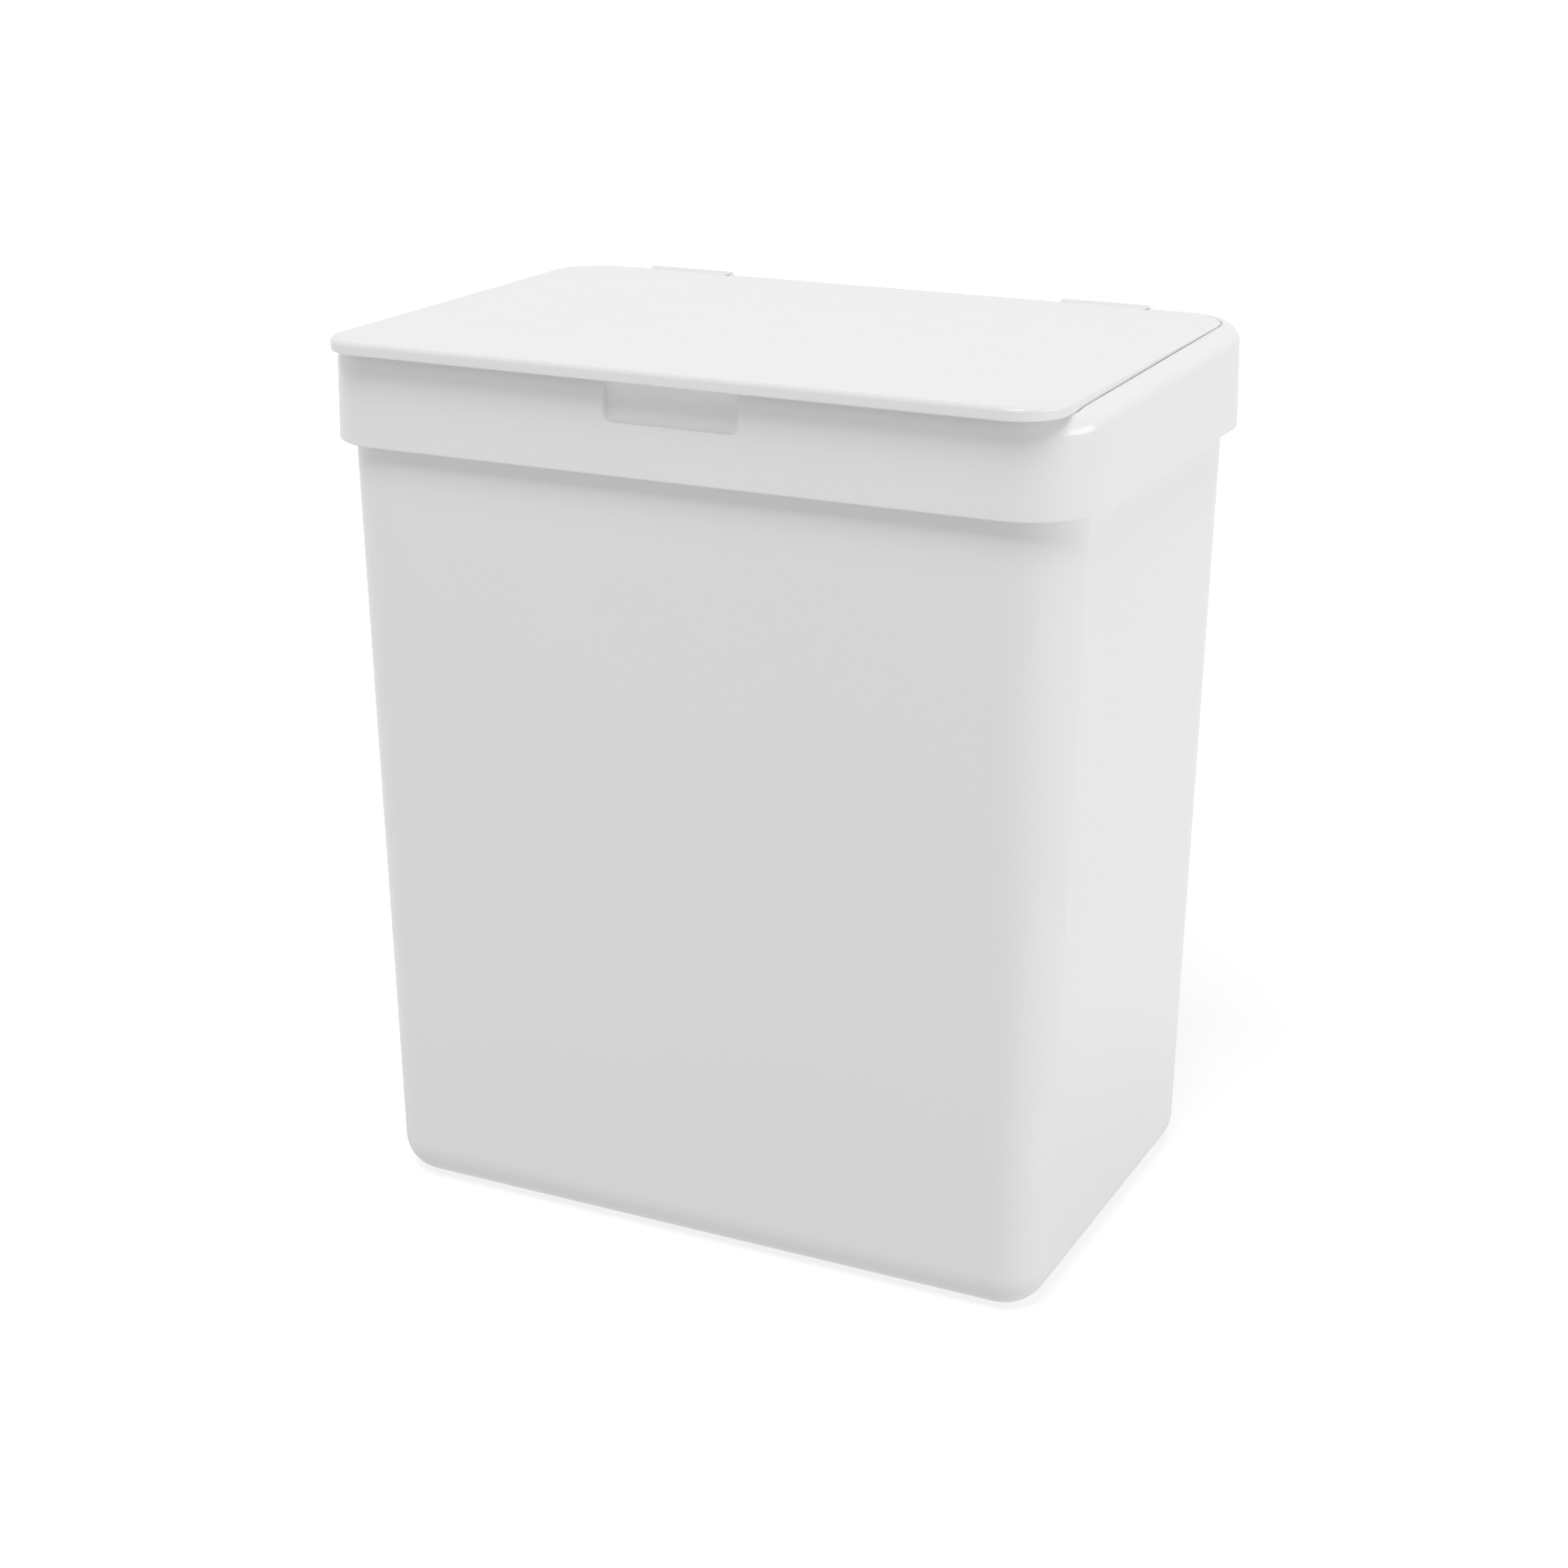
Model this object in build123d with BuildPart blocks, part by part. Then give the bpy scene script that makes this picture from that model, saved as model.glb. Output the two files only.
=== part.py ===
from build123d import *
import os
from math import cos, radians, sin, sqrt, tan

os.makedirs("parts", exist_ok=True)

# Small bin with a lift-off collar that holds the bag and a hinged flat lid.
# X runs across the front, Y from the front to the back, Z up from the floor.
# All lengths are in millimetres and all angles in degrees.

# Height of the closed lid's top
top_z = 240.3

# Collar: its lower edge is the widest outline of the bin
collar_width = 210.0
collar_depth = 137.0
collar_corner = 19.0
collar_height = 27.9
collar_edge_radius = 5.0
collar_lip_radius = 0.5
skirt_wall = 2.4
skirt_draft = 1.15
deck_wall = 2.4
deck_edge_radius = 0.8

# The collar's top falls from the hinge rail, just below the lid's top, to the front
rail_drop = 0.5
front_rise = 0.3

# Lid: a plate that drops between the collar's shoulders and overhangs its front
lid_thickness = 3.3
lid_side_inset = 5.3
lid_side_gap = 0.4
lid_overhang = 4.8
lid_corner = 12.0
lid_top_radius = 1.1
lid_bottom_radius = 0.4
lid_back_edge = 0.8
lid_rib_wall = 1.6
lid_rib_height = 3.5
lid_rib_gap = 1.0

# Bucket: a tub that widens upwards to the rim inside the collar
bucket_draft = 1.15
bucket_wall = 2.0
bucket_floor = 2.2
bucket_corner = 12.0
bucket_base_radius = 11.0
bucket_rim_drop = 12.8
bucket_rim_gap = 0.82
bucket_rim_radius = 0.7
base_recess = 1.0
base_ring_width = 8.0
base_recess_corner = 6.0

# Throat: the wall that hangs from the collar into the bucket's mouth
bag_gap = 1.2
throat_wall = 2.0
throat_drop = 10.5
hinge_strip = 18.5

# Hinge: two lugs of the lid clip on pins moulded across notches in the collar
hinge_x = 63.0
lug_width = 24.6
lug_side_gap = 0.4
pin_radius = 2.0
pin_clearance = 0.06
barrel_wall = 1.54
barrel_gap = 0.4
knuckle_proud = 1.0
knuckle_gap = 0.6
knuckle_end_radius = 0.4
rail_rise = 0.3
swing_gap = 0.35
snap_slot = 3.0
cheek_wall = 2.4
open_angle = 100.0
stop_clearance = 0.1
lug_root = 4.0

# Finger recess in the middle of the collar's front
recess_width = 37.0
recess_height = 11.3
recess_corner = 2.4
recess_depth = 1.5
recess_backing = 2.0
recess_margin = 2.0

# Ribs that carry the collar on the bucket's rim
rib_wall = 1.6
front_rib_shares = (-0.32, -0.15, 0.15, 0.32)
back_rib_shares = (-0.13, 0.0, 0.13)
side_rib_shares = (-0.24, 0.16)

# One overrun for all tools that cut through
overrun = 20.0

# Heights and places that follow from the sizes above
bin_y = lid_overhang / 2
collar_bottom_z = top_z - collar_height
rail_z = top_z - rail_drop
deck_z = top_z - lid_thickness
deck_under_z = deck_z - deck_wall
rim_z = top_z - bucket_rim_drop
throat_z = rim_z - throat_drop
floor_z = base_recess + bucket_floor
hinge_z = rail_z - collar_edge_radius
collar_front_y = bin_y - collar_depth / 2
collar_back_y = bin_y + collar_depth / 2
hinge_y = (
    collar_back_y
    - (hinge_z - collar_bottom_z) * tan(radians(skirt_draft))
    - collar_edge_radius / cos(radians(skirt_draft))
)
barrel_radius = pin_radius + pin_clearance + barrel_wall
knuckle_radius = collar_edge_radius + knuckle_proud
rail_radius = collar_edge_radius + rail_rise
stop_drop = barrel_radius + barrel_gap
notch_z = hinge_z - stop_drop
notch_width = lug_width + 2 * lug_side_gap

# Bucket outlines: the rim clears the skirt's inner face, and the base follows the draft
rim_inset = skirt_wall + (rim_z - collar_bottom_z) * tan(radians(skirt_draft)) + bucket_rim_gap
base_inset = rim_inset + rim_z * tan(radians(bucket_draft))
base_width = collar_width - 2 * base_inset
base_depth = collar_depth - 2 * base_inset
floor_grow = floor_z * tan(radians(bucket_draft)) - bucket_wall
rim_grow = rim_z * tan(radians(bucket_draft)) - bucket_wall

# Opening in the collar, from the bucket's inner face at the rim
throat_inset = rim_grow - bag_gap
throat_width = base_width + 2 * throat_inset
throat_front = base_depth / 2 + throat_inset
throat_back = collar_depth / 2 - hinge_strip + throat_wall
throat_depth = throat_front + throat_back
throat_y = (throat_back - throat_front) / 2
throat_corner = bucket_corner + throat_inset
opening_width = throat_width - 2 * throat_wall
opening_depth = throat_depth - 2 * throat_wall
opening_corner = throat_corner - throat_wall

# Lid outline, from the bin's centre
lid_width = collar_width - 2 * lid_side_inset
lid_front = collar_depth / 2 + lid_overhang
back_edge_rise = top_z - lid_back_edge - hinge_z
lid_back = hinge_y - bin_y - sqrt((rail_radius + swing_gap) ** 2 - back_edge_rise**2)


def level(height):
    """Horizontal plane at a height, centred on the bin's footprint."""
    return Plane(origin=(0, bin_y, height))


def side_plane(x):
    """Upright plane across the bin at x, with Y along and Z up."""
    return Plane.YZ.offset(x)


def drafted_tub(base, width, depth, corner, edge_radius):
    """Solid that widens upwards from its base to the rim, with a rounded lower edge."""
    with BuildPart() as tub:
        with BuildSketch(level(base)):
            RectangleRounded(width, depth, corner)
        extrude(amount=rim_z - base, taper=-bucket_draft)
        fillet(tub.faces().sort_by(Axis.Z)[0].edges(), edge_radius)
    return tub.part


# Bucket
bucket_outside = drafted_tub(0, base_width, base_depth, bucket_corner, bucket_base_radius)
bucket_inside = drafted_tub(
    floor_z,
    base_width + 2 * floor_grow,
    base_depth + 2 * floor_grow,
    bucket_corner + floor_grow,
    bucket_base_radius - bucket_wall,
)
with BuildPart() as bucket:
    add(bucket_outside)
    add(bucket_inside, mode=Mode.SUBTRACT)
    rim = bucket.faces().filter_by(Plane.XY).sort_by(Axis.Z)[-1]
    fillet(rim.edges(), bucket_rim_radius)
    with BuildSketch(level(0)):
        RectangleRounded(
            base_width - 2 * (bucket_base_radius + base_ring_width),
            base_depth - 2 * (bucket_base_radius + base_ring_width),
            base_recess_corner,
        )
    extrude(amount=base_recess, mode=Mode.SUBTRACT)
bucket.part.label = "bucket"
export_step(bucket.part, "parts/bucket.step")

# Space that the lid takes from the collar as it swings up, in front of the hinge rail
with BuildPart() as lid_pocket:
    with BuildSketch(level(deck_z)) as pocket_outline:
        with Locations((0, lid_back + lid_side_gap)):
            Rectangle(
                lid_width + 2 * lid_side_gap,
                collar_depth + overrun,
                align=(Align.CENTER, Align.MAX),
            )
        fillet(pocket_outline.vertices().group_by(Axis.Y)[-1], lid_corner + lid_side_gap)
    revolve(axis=Axis((0, hinge_y, hinge_z), (-1, 0, 0)), revolution_arc=open_angle)
    with BuildSketch(side_plane(0)):
        with Locations((hinge_y, hinge_z)):
            Circle(rail_radius)
    extrude(amount=collar_width / 2, both=True, mode=Mode.SUBTRACT)

# Finger recess: its floor lies parallel to the drafted front
recess_z = deck_z - recess_height
recess_face_y = (
    collar_front_y
    + (recess_z - collar_bottom_z) * tan(radians(skirt_draft))
    + recess_depth
)
recess_out = (0, -cos(radians(skirt_draft)), sin(radians(skirt_draft)))
recess_plane = Plane(origin=(0, recess_face_y, recess_z), x_dir=(1, 0, 0), z_dir=recess_out)
with BuildPart() as recess_tool:
    with BuildSketch(recess_plane):
        RectangleRounded(
            recess_width,
            recess_height + overrun,
            recess_corner,
            align=(Align.CENTER, Align.MIN),
        )
    extrude(amount=overrun)

# Collar, from a drafted block cut off by its sloping top
top_fall = rail_z - deck_z - front_rise
collar_top = Plane(
    origin=(0, hinge_y, rail_z), x_dir=(1, 0, 0), z_dir=(0, -top_fall, hinge_y - collar_front_y)
)
skirt_inner_width = collar_width - 2 * skirt_wall
skirt_inner_depth = collar_depth - 2 * skirt_wall
skirt_mid_inset = skirt_wall / 2 + (rim_z - collar_bottom_z) * tan(radians(skirt_draft))
with BuildPart() as collar:
    with BuildSketch(level(collar_bottom_z)):
        RectangleRounded(collar_width, collar_depth, collar_corner)
    extrude(amount=collar_height + lid_thickness, taper=skirt_draft)
    split(bisect_by=collar_top, keep=Keep.BOTTOM)
    fillet(collar.faces().sort_by(Axis.Z)[-1].edges(), collar_edge_radius)
    add(lid_pocket.part, mode=Mode.SUBTRACT)
    with BuildSketch(level(collar_bottom_z)):
        RectangleRounded(skirt_inner_width, skirt_inner_depth, collar_corner - skirt_wall)
    extrude(amount=deck_under_z - collar_bottom_z, taper=skirt_draft, mode=Mode.SUBTRACT)
    skirt_edge = collar.faces().sort_by(Axis.Z)[0]
    fillet(skirt_edge.outer_wire().edges(), collar_lip_radius)

    # Throat and the opening through it
    with BuildSketch(level(throat_z)):
        with Locations((0, throat_y)):
            RectangleRounded(throat_width, throat_depth, throat_corner)
    extrude(amount=deck_z - throat_z)
    with BuildSketch(level(throat_z)):
        with Locations((0, throat_y)):
            RectangleRounded(opening_width, opening_depth, opening_corner)
    extrude(amount=deck_z - throat_z, mode=Mode.SUBTRACT)
    deck = collar.faces().filter_by(Plane.XY).group_by(Axis.Z)[-1].sort_by(SortBy.AREA)[-1]
    fillet(deck.inner_wires()[0].edges(), deck_edge_radius)

    # Hollow under the hinge rail, then a notch through it for each lug
    with BuildSketch(side_plane(0)):
        with Locations((hinge_y, hinge_z)):
            Circle(collar_edge_radius - skirt_wall)
    extrude(amount=collar_width / 2 - collar_corner, both=True, mode=Mode.SUBTRACT)
    for side in (-1, 1):
        with BuildSketch(side_plane(side * hinge_x)):
            with Locations((hinge_y - knuckle_radius - knuckle_gap, notch_z)):
                Rectangle(overrun, overrun, align=(Align.MIN, Align.MIN))
        extrude(amount=notch_width / 2, both=True, mode=Mode.SUBTRACT)

    # Cheeks at both ends of each notch, and the pin between them
    cheek_radius = collar_edge_radius - skirt_wall / 2
    for side in (-1, 1):
        for end in (-1, 1):
            cheek_x = side * hinge_x + end * (notch_width + cheek_wall) / 2
            with BuildSketch(side_plane(cheek_x)):
                with Locations((hinge_y, hinge_z)):
                    Circle(cheek_radius)
                with Locations((hinge_y, rim_z)):
                    Rectangle(
                        2 * cheek_radius, hinge_z - rim_z, align=(Align.CENTER, Align.MIN)
                    )
            extrude(amount=cheek_wall / 2, both=True)
        with BuildSketch(side_plane(side * hinge_x)):
            with Locations((hinge_y, hinge_z)):
                Circle(pin_radius)
        extrude(amount=(notch_width + cheek_wall) / 2, both=True)

    # Ribs between the skirt and the throat, standing on the bucket's rim
    with BuildSketch(level(rim_z)):
        front_skirt = collar_depth / 2 - skirt_mid_inset
        front_throat = throat_front - throat_wall / 2
        for share in front_rib_shares:
            with Locations((share * collar_width, -(front_skirt + front_throat) / 2)):
                Rectangle(rib_wall, front_skirt - front_throat)
        back_throat = throat_back - throat_wall / 2
        for share in back_rib_shares:
            with Locations((share * collar_width, (front_skirt + back_throat) / 2)):
                Rectangle(rib_wall, front_skirt - back_throat)
        side_skirt = collar_width / 2 - skirt_mid_inset
        side_throat = (throat_width - throat_wall) / 2
        for share in side_rib_shares:
            for side in (-1, 1):
                rib_x = side * (side_skirt + side_throat) / 2
                with Locations((rib_x, share * collar_depth)):
                    Rectangle(side_skirt - side_throat, rib_wall)
    extrude(amount=deck_under_z + deck_wall / 2 - rim_z)

    # Thicker wall behind the finger recess, then the recess itself
    with BuildSketch(level(rim_z)):
        with Locations((0, -collar_depth / 2 + skirt_mid_inset)):
            Rectangle(
                recess_width + 2 * recess_margin,
                skirt_wall / 2 + recess_backing,
                align=(Align.CENTER, Align.MIN),
            )
    extrude(amount=deck_under_z + deck_wall / 2 - rim_z)
    add(recess_tool.part, mode=Mode.SUBTRACT)
collar.part.label = "collar"
export_step(collar.part, "parts/collar.step")

# Lid
stop_out = (sin(radians(open_angle)), -cos(radians(open_angle)))
with BuildPart() as lid:
    with BuildSketch(level(deck_z)):
        with Locations((0, (lid_back - lid_front) / 2)):
            RectangleRounded(lid_width, lid_front + lid_back, lid_corner)
    extrude(amount=lid_thickness)
    fillet(lid.faces().sort_by(Axis.Z)[-1].edges(), lid_top_radius)
    fillet(lid.faces().sort_by(Axis.Z)[0].edges(), lid_bottom_radius)

    # Hollow along the back edge that swings round the hinge rail
    with BuildSketch(side_plane(0)):
        with Locations((hinge_y, hinge_z)):
            Circle(rail_radius + swing_gap)
    extrude(amount=collar_width / 2, both=True, mode=Mode.SUBTRACT)

    # Rib under the plate that locates in the collar's opening
    with BuildSketch(level(deck_z - lid_rib_height)):
        with Locations((0, throat_y)):
            RectangleRounded(
                opening_width - 2 * lid_rib_gap,
                opening_depth - 2 * lid_rib_gap,
                opening_corner - lid_rib_gap,
            )
            RectangleRounded(
                opening_width - 2 * (lid_rib_gap + lid_rib_wall),
                opening_depth - 2 * (lid_rib_gap + lid_rib_wall),
                opening_corner - lid_rib_gap - lid_rib_wall,
                mode=Mode.SUBTRACT,
            )
    extrude(amount=lid_rib_height + lid_thickness / 2)

    # Lugs: a knuckle over each pin, cut off where it meets the notch when open
    for side in (-1, 1):
        with BuildSketch(side_plane(side * hinge_x)):
            with Locations((hinge_y, hinge_z)):
                Circle(knuckle_radius)
                Rectangle(
                    2 * knuckle_radius,
                    knuckle_radius,
                    align=(Align.CENTER, Align.MAX),
                    mode=Mode.SUBTRACT,
                )
                Circle(barrel_radius)
            with Locations((hinge_y, deck_z)):
                Rectangle(
                    knuckle_radius + lug_root,
                    lid_thickness,
                    align=(Align.MAX, Align.MIN),
                )
            stop_far = stop_drop - stop_clearance + overrun / 2
            stop_at = (hinge_y + stop_out[0] * stop_far, hinge_z + stop_out[1] * stop_far)
            with Locations(stop_at):
                Rectangle(overrun, 2 * overrun, rotation=open_angle - 90, mode=Mode.SUBTRACT)
            with Locations((hinge_y, hinge_z)):
                Circle(pin_radius + pin_clearance, mode=Mode.SUBTRACT)
                Rectangle(
                    snap_slot,
                    barrel_radius + barrel_gap,
                    align=(Align.CENTER, Align.MAX),
                    mode=Mode.SUBTRACT,
                )
        extrude(amount=lug_width / 2, both=True)
    knuckle_ends = lid.edges().filter_by(GeomType.CIRCLE).group_by(Axis.Z)[-1]
    fillet(knuckle_ends, knuckle_end_radius)
lid.part.label = "lid"
export_step(lid.part, "parts/lid.step")
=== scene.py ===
from math import pi

import bpy
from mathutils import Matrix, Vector

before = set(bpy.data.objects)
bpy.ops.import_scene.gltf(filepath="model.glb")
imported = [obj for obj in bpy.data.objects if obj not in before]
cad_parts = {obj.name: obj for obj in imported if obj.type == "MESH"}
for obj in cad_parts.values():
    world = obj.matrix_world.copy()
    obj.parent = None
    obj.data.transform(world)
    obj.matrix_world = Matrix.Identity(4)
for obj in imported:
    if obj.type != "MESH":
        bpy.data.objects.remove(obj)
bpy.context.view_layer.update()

# Camera: the photograph's view, from the right of the front and a little above the lid
CAMERA_SPOT = (0.31908, -0.65683, 0.37362)
CAMERA_TILT = 0.34181
CAMERA_TURN = 0.45382
CAMERA_LENS = 64.84
CAMERA_SENSOR = 36.0

# Finish of the moulded plastic, lengths in metres
WHITE = (0.88, 0.88, 0.878)
WHITE_FAINT = (0.872, 0.872, 0.871)
PLASTIC_IOR = 1.49
ROUGHNESS_LOW = 0.23
ROUGHNESS_HIGH = 0.26
NOISE_LOW = 0.2
NOISE_HIGH = 0.8
TINT_GRAIN = 0.06
GLOSS_GRAIN = 0.018
PEEL_GRAIN = 0.005
PEEL_HEIGHT = 0.000006

# Where each piece lies in the noise, so that no two pieces share a pattern
NOISE_SHIFTS = {
    "bucket": (0.0, 0.0, 0.0),
    "collar": (0.31, 0.12, 0.05),
    "lid": (0.07, 0.43, 0.21),
}

# Studio: the floor as the camera sees it, then as light and in reflections, then the sky
FLOOR_SIZE = 14.0
FLOOR_COLOUR = (0.5, 0.5, 0.5)
FLOOR_GLOW = 0.6
GLOW_START = 0.35
GLOW_END = 1.4
FLOOR_BOUNCE = 0.7
MIRROR_START = 0.11
MIRROR_END = 0.2
SKY_SHARE = 0.716
SKY_LEAN = (-0.26, 0.34, -0.4)

# Lamps: direction from the bin, width, height and share of the light
AIM_HEIGHT = 0.14
LAMP_DISTANCE = 5.0
LAMPS = {
    "key": ((0.084, -0.478, 0.875), 2.4, 2.4, 0.52),
    "side": ((0.99, 0.12, 0.06), 4.0, 2.0, 0.445),
}


def grain_noise(nodes, links, coordinates, grain):
    """Noise whose features are about one grain wide."""
    noise = nodes.new("ShaderNodeTexNoise")
    noise.inputs["Scale"].default_value = 1.0 / grain
    links.new(coordinates, noise.inputs["Vector"])
    return noise.outputs["Fac"]


def spread(nodes, links, factor, low, high):
    """A noise's range stretched between two values."""
    ramp = nodes.new("ShaderNodeMapRange")
    ramp.inputs["From Min"].default_value = NOISE_LOW
    ramp.inputs["From Max"].default_value = NOISE_HIGH
    ramp.inputs["To Min"].default_value = low
    ramp.inputs["To Max"].default_value = high
    links.new(factor, ramp.inputs["Value"])
    return ramp.outputs["Result"]


def moulded_plastic(name, shift):
    """White polypropylene with a soft gloss, a faint orange peel and slight unevenness."""
    material = bpy.data.materials.new(name)
    material.use_nodes = True
    nodes = material.node_tree.nodes
    links = material.node_tree.links
    shader = nodes["Principled BSDF"]
    shader.inputs["IOR"].default_value = PLASTIC_IOR

    place = nodes.new("ShaderNodeTexCoord")
    mapping = nodes.new("ShaderNodeMapping")
    mapping.inputs["Location"].default_value = shift
    links.new(place.outputs["Object"], mapping.inputs["Vector"])
    coordinates = mapping.outputs["Vector"]

    tint = nodes.new("ShaderNodeMix")
    tint.data_type = "RGBA"
    tint.inputs["A"].default_value = (*WHITE, 1.0)
    tint.inputs["B"].default_value = (*WHITE_FAINT, 1.0)
    patches = grain_noise(nodes, links, coordinates, TINT_GRAIN)
    links.new(spread(nodes, links, patches, 0.0, 1.0), tint.inputs["Factor"])
    links.new(tint.outputs["Result"], shader.inputs["Base Color"])

    gloss = grain_noise(nodes, links, coordinates, GLOSS_GRAIN)
    roughness = spread(nodes, links, gloss, ROUGHNESS_LOW, ROUGHNESS_HIGH)
    links.new(roughness, shader.inputs["Roughness"])

    peel = nodes.new("ShaderNodeBump")
    peel.inputs["Distance"].default_value = PEEL_HEIGHT
    links.new(grain_noise(nodes, links, coordinates, PEEL_GRAIN), peel.inputs["Height"])
    links.new(peel.outputs["Normal"], shader.inputs["Normal"])
    return material


def finish_node(name, shift):
    """The node keeps its shape and takes the plastic in its slots."""
    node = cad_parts[name]
    material = moulded_plastic(name + "_plastic", shift)
    for slot in node.material_slots:
        slot.material = material


def value_by_reach(nodes, links, reach, start, end, low):
    """Value that rises to one between two distances from the bin."""
    rise = nodes.new("ShaderNodeMapRange")
    rise.inputs["From Min"].default_value = start
    rise.inputs["From Max"].default_value = end
    rise.inputs["To Min"].default_value = low
    links.new(reach, rise.inputs["Value"])
    return rise.outputs["Result"]


def studio_floor():
    """Floor seen as white paper with the bin's shadow, which lights the bin evenly."""
    bpy.ops.mesh.primitive_plane_add(size=FLOOR_SIZE)
    floor = bpy.context.object
    floor.name = "floor"
    material = bpy.data.materials.new("floor_paper")
    material.use_nodes = True
    nodes = material.node_tree.nodes
    links = material.node_tree.links
    nodes.remove(nodes["Principled BSDF"])
    path = nodes.new("ShaderNodeLightPath")
    place = nodes.new("ShaderNodeTexCoord")
    distance = nodes.new("ShaderNodeVectorMath")
    distance.operation = "LENGTH"
    links.new(place.outputs["Object"], distance.inputs[0])
    reach = distance.outputs["Value"]

    paper = nodes.new("ShaderNodeBsdfDiffuse")
    paper.inputs["Color"].default_value = (*FLOOR_COLOUR, 1.0)
    glow = nodes.new("ShaderNodeEmission")
    glow_rise = value_by_reach(nodes, links, reach, GLOW_START, GLOW_END, FLOOR_GLOW)
    links.new(glow_rise, glow.inputs["Strength"])
    seen = nodes.new("ShaderNodeAddShader")
    links.new(paper.outputs["BSDF"], seen.inputs[0])
    links.new(glow.outputs["Emission"], seen.inputs[1])

    mirror_rise = value_by_reach(nodes, links, reach, MIRROR_START, MIRROR_END, 0.0)
    mirrored = nodes.new("ShaderNodeMath")
    mirrored.operation = "MULTIPLY"
    links.new(mirror_rise, mirrored.inputs[0])
    links.new(path.outputs["Is Glossy Ray"], mirrored.inputs[1])
    bounce = nodes.new("ShaderNodeMapRange")
    bounce.inputs["To Min"].default_value = FLOOR_BOUNCE
    links.new(mirrored.outputs[0], bounce.inputs["Value"])
    even = nodes.new("ShaderNodeEmission")
    links.new(bounce.outputs["Result"], even.inputs["Strength"])

    kind = nodes.new("ShaderNodeMixShader")
    links.new(path.outputs["Is Camera Ray"], kind.inputs["Fac"])
    links.new(even.outputs["Emission"], kind.inputs[1])
    links.new(seen.outputs["Shader"], kind.inputs[2])
    links.new(kind.outputs["Shader"], nodes["Material Output"].inputs["Surface"])
    floor.data.materials.append(material)


def studio_world():
    """White to the camera and in reflections. As light, brightest from low behind and the left."""
    world = bpy.data.worlds.new("studio")
    bpy.context.scene.world = world
    world.use_nodes = True
    nodes = world.node_tree.nodes
    links = world.node_tree.links
    sky = nodes["Background"]
    sky.inputs["Color"].default_value = (1.0, 1.0, 1.0, 1.0)
    place = nodes.new("ShaderNodeTexCoord")
    lean = nodes.new("ShaderNodeVectorMath")
    lean.operation = "DOT_PRODUCT"
    links.new(place.outputs["Generated"], lean.inputs[0])
    lean.inputs[1].default_value = SKY_LEAN
    light = nodes.new("ShaderNodeMath")
    light.operation = "ADD"
    links.new(lean.outputs["Value"], light.inputs[0])
    light.inputs[1].default_value = SKY_SHARE
    path = nodes.new("ShaderNodeLightPath")
    seen = nodes.new("ShaderNodeMath")
    seen.operation = "MAXIMUM"
    links.new(path.outputs["Is Camera Ray"], seen.inputs[0])
    links.new(path.outputs["Is Glossy Ray"], seen.inputs[1])
    strength = nodes.new("ShaderNodeMapRange")
    links.new(light.outputs[0], strength.inputs["To Min"])
    links.new(seen.outputs[0], strength.inputs["Value"])
    links.new(strength.outputs["Result"], sky.inputs["Strength"])


def softbox(name, direction, width, height, share):
    """Area lamp aimed at the bin. Its share is the light it gives a face turned to it."""
    lamp = bpy.data.lights.new(name, "AREA")
    lamp.shape = "RECTANGLE"
    lamp.size = width
    lamp.size_y = height
    lamp.energy = share * pi * pi * LAMP_DISTANCE * LAMP_DISTANCE
    box = bpy.data.objects.new(name, lamp)
    bpy.context.scene.collection.objects.link(box)
    toward = Vector(direction).normalized()
    box.location = Vector((0.0, 0.0, AIM_HEIGHT)) + LAMP_DISTANCE * toward
    box.rotation_euler = toward.to_track_quat("Z", "Y").to_euler()


for node_name, noise_shift in NOISE_SHIFTS.items():
    finish_node(node_name, noise_shift)

studio_floor()
studio_world()
for lamp_name, lamp_values in LAMPS.items():
    softbox(lamp_name, *lamp_values)

camera = bpy.data.objects.new("camera", bpy.data.cameras.new("camera"))
bpy.context.scene.collection.objects.link(camera)
camera.data.lens = CAMERA_LENS
camera.data.sensor_width = CAMERA_SENSOR
camera.location = CAMERA_SPOT
camera.rotation_euler = (pi / 2 - CAMERA_TILT, 0.0, CAMERA_TURN)
bpy.context.scene.camera = camera
bpy.context.scene.view_settings.view_transform = "Standard"
